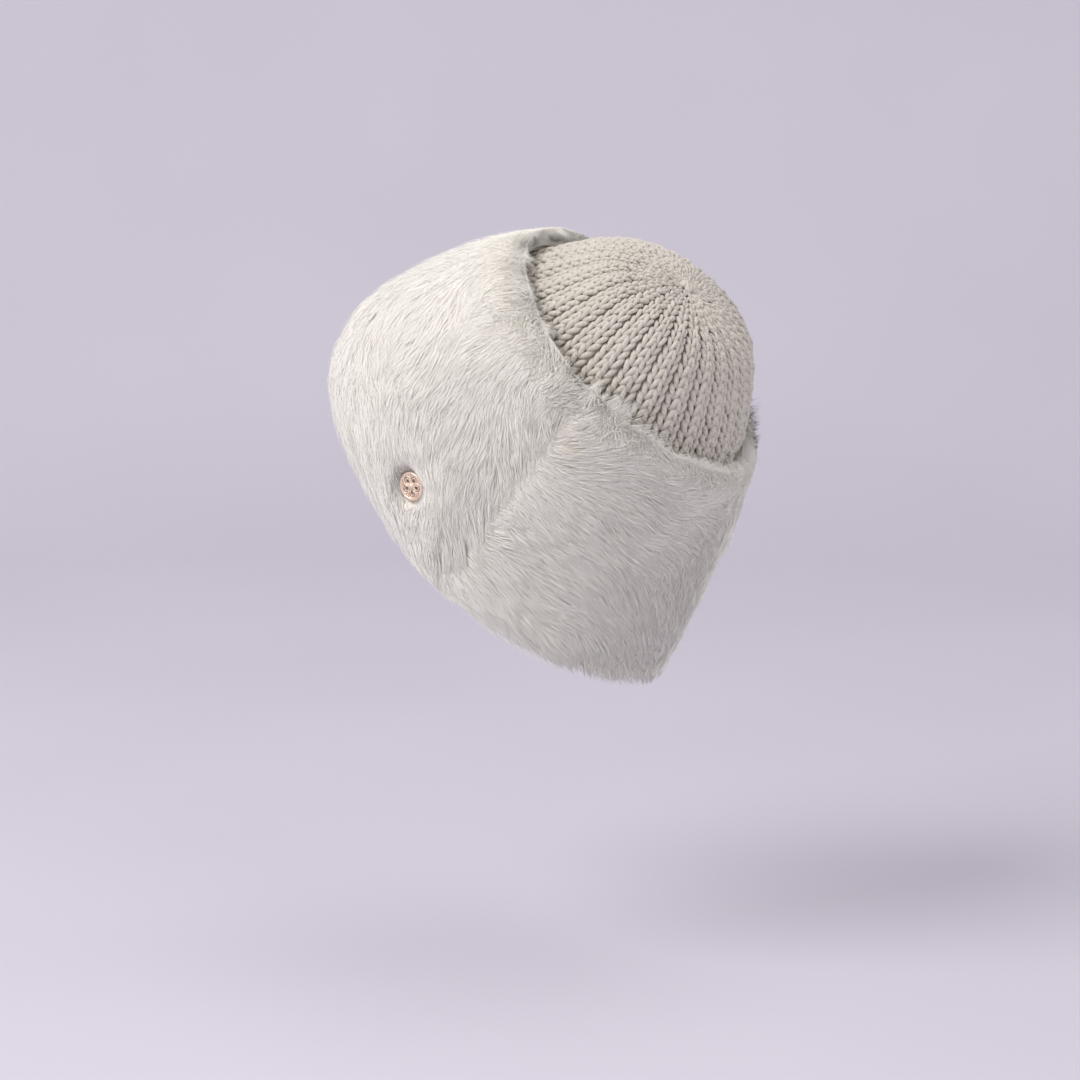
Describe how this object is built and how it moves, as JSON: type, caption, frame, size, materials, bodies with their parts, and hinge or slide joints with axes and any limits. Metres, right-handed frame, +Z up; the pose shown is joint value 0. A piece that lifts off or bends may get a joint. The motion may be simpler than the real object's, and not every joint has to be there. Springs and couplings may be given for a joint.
{
  "type": "winter beanie",
  "caption": "Winter beanie with a chunky ribbed knit crown, a deep faux-fur band dipping from brow to nape, and a small round openwork metal ornament.",
  "frame": {"origin": "the middle of the head opening, inside the lower rim of the band, where a head holds the beanie", "axes": "+Z up as worn, the wearer faces -Y and the wearer's left is +X, the side with the ornament"},
  "size_m": [0.1941, 0.2405, 0.2426],
  "materials": {
    "knit": "chunky ivory rib knit of soft two-ply yarn",
    "backing": "plain ivory knitted cloth",
    "fur": "long soft white faux fur",
    "ornament": "rose-gold plated metal, slightly worn"
  },
  "bodies": {
    "root": {"knit_crown": "knit", "band_backing": "backing", "fur_front": "fur", "fur_back": "fur", "ornament": "ornament"}
  },
  "joints": []
}
